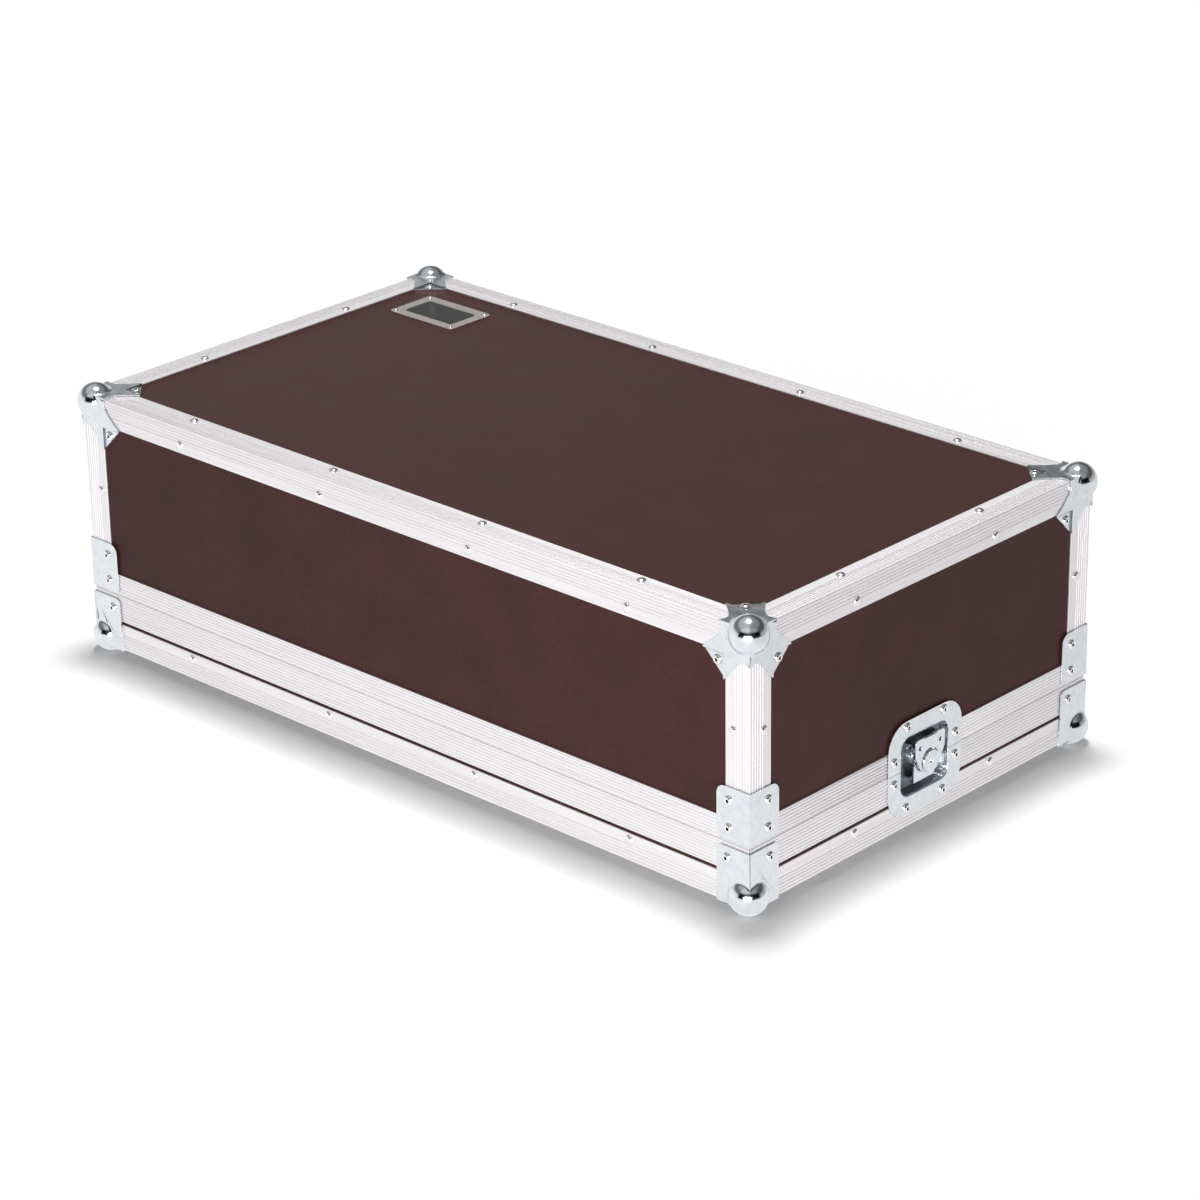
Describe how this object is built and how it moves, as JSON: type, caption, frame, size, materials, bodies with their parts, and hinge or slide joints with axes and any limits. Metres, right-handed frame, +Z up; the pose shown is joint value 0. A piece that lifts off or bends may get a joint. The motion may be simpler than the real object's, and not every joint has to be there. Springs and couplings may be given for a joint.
{
  "type": "guitar pedal case",
  "caption": "Flight case for guitar pedals: a shallow tray and a deep lift-off cover in aluminium-edged plywood, with ball corners, recessed twist latches and a carrying handle.",
  "frame": {"origin": "middle of the footprint, at the ground under the four lower balls", "axes": "+X along the case towards the side whose latch the picture shows, -Y out of its front, +Z up"},
  "size_m": [0.9576, 0.5376, 0.3086],
  "materials": {
    "plywood": "satin brown phenolic film on plywood",
    "aluminium": "natural grooved extrusion",
    "zinc_steel": "bright zinc plated pressed steel",
    "grip": "ribbed black rubber",
    "foam": "dark grey closed-cell foam",
    "carpet": "dark grey loop carpet"
  },
  "bodies": {
    "tray": {"tray_front_panel": "plywood", "tray_right_panel": "plywood", "tray_back_panel": "plywood", "tray_left_panel": "plywood", "tray_floor_panel": "plywood", "tray_carpet": "carpet", "tray_closing_edging_front": "aluminium", "tray_closing_edging_right_front": "aluminium", "tray_closing_edging_right_back": "aluminium", "tray_closing_edging_back": "aluminium", "tray_closing_edging_left_back": "aluminium", "tray_closing_edging_left_front": "aluminium", "tray_bottom_edging_front": "aluminium", "tray_bottom_edging_right": "aluminium", "tray_bottom_edging_back": "aluminium", "tray_bottom_edging_left": "aluminium", "tray_ball_corner_front_left": "zinc_steel", "tray_ball_corner_front_right": "zinc_steel", "tray_ball_corner_back_right": "zinc_steel", "tray_ball_corner_back_left": "zinc_steel", "latch_lower_dish_right": "zinc_steel", "latch_lower_dish_left": "zinc_steel"},
    "cover": {"cover_front_panel": "plywood", "cover_right_panel": "plywood", "cover_back_panel": "plywood", "cover_left_panel": "plywood", "cover_top_panel": "plywood", "cover_foam": "foam", "cover_closing_edging_front": "aluminium", "cover_closing_edging_right_front": "aluminium", "cover_closing_edging_right_back": "aluminium", "cover_closing_edging_back": "aluminium", "cover_closing_edging_left_back": "aluminium", "cover_closing_edging_left_front": "aluminium", "cover_top_edging_front": "aluminium", "cover_top_edging_right": "aluminium", "cover_top_edging_back": "aluminium", "cover_top_edging_left": "aluminium", "cover_upright_edging_front_left": "aluminium", "cover_upright_edging_front_right": "aluminium", "cover_upright_edging_back_right": "aluminium", "cover_upright_edging_back_left": "aluminium", "cover_ball_corner_front_left": "zinc_steel", "cover_ball_corner_front_right": "zinc_steel", "cover_ball_corner_back_right": "zinc_steel", "cover_ball_corner_back_left": "zinc_steel", "cover_brace_front_left": "zinc_steel", "cover_brace_front_right": "zinc_steel", "cover_brace_back_right": "zinc_steel", "cover_brace_back_left": "zinc_steel", "latch_upper_dish_right": "zinc_steel", "latch_upper_dish_left": "zinc_steel", "handle_dish": "zinc_steel"},
    "right_cam": {"latch_cam_right": "zinc_steel"},
    "right_wing": {"latch_wing_right": "zinc_steel"},
    "right_hook": {"latch_hook_right": "zinc_steel"},
    "left_cam": {"latch_cam_left": "zinc_steel"},
    "left_wing": {"latch_wing_left": "zinc_steel"},
    "left_hook": {"latch_hook_left": "zinc_steel"},
    "handle": {"handle_bail": "zinc_steel"}
  },
  "joints": [
    {"name": "cover_lift", "type": "slide", "parent": "tray", "child": "cover", "axis": [0, 0, 1], "range_m": [0, 0.25]},
    {"name": "right_latch_turn", "type": "hinge", "parent": "cover", "child": "right_cam", "pos_m": [0.4685, 0, 0.0754], "axis": [-1, 0, 0], "range_deg": [0, 180]},
    {"name": "right_wing_fold", "type": "hinge", "parent": "right_cam", "child": "right_wing", "pos_m": [0.4722, 0, 0.0714], "axis": [0, 1, 0], "range_deg": [0, 90]},
    {"name": "right_hook_swing", "type": "hinge", "parent": "cover", "child": "right_hook", "pos_m": [0.4645, 0, 0.0934], "axis": [0, 1, 0], "range_deg": [0, 5]},
    {"name": "left_latch_turn", "type": "hinge", "parent": "cover", "child": "left_cam", "pos_m": [-0.4685, 0, 0.0754], "axis": [1, 0, 0], "range_deg": [0, 180]},
    {"name": "left_wing_fold", "type": "hinge", "parent": "left_cam", "child": "left_wing", "pos_m": [-0.4722, 0, 0.0714], "axis": [0, -1, 0], "range_deg": [0, 90]},
    {"name": "left_hook_swing", "type": "hinge", "parent": "cover", "child": "left_hook", "pos_m": [-0.4645, 0, 0.0934], "axis": [0, -1, 0], "range_deg": [0, 5]},
    {"name": "handle_swing", "type": "hinge", "parent": "cover", "child": "handle", "pos_m": [0, 0.2546, 0.2076], "axis": [1, 0, 0], "range_deg": [0, 90], "stiffness_Nm_per_rad": 0.35, "springref_deg": -20.05}
  ],
  "couplings": [
    {"joint": "right_hook_swing", "follows": "right_latch_turn", "ratio": 0.02777},
    {"joint": "left_hook_swing", "follows": "left_latch_turn", "ratio": 0.02777}
  ]
}
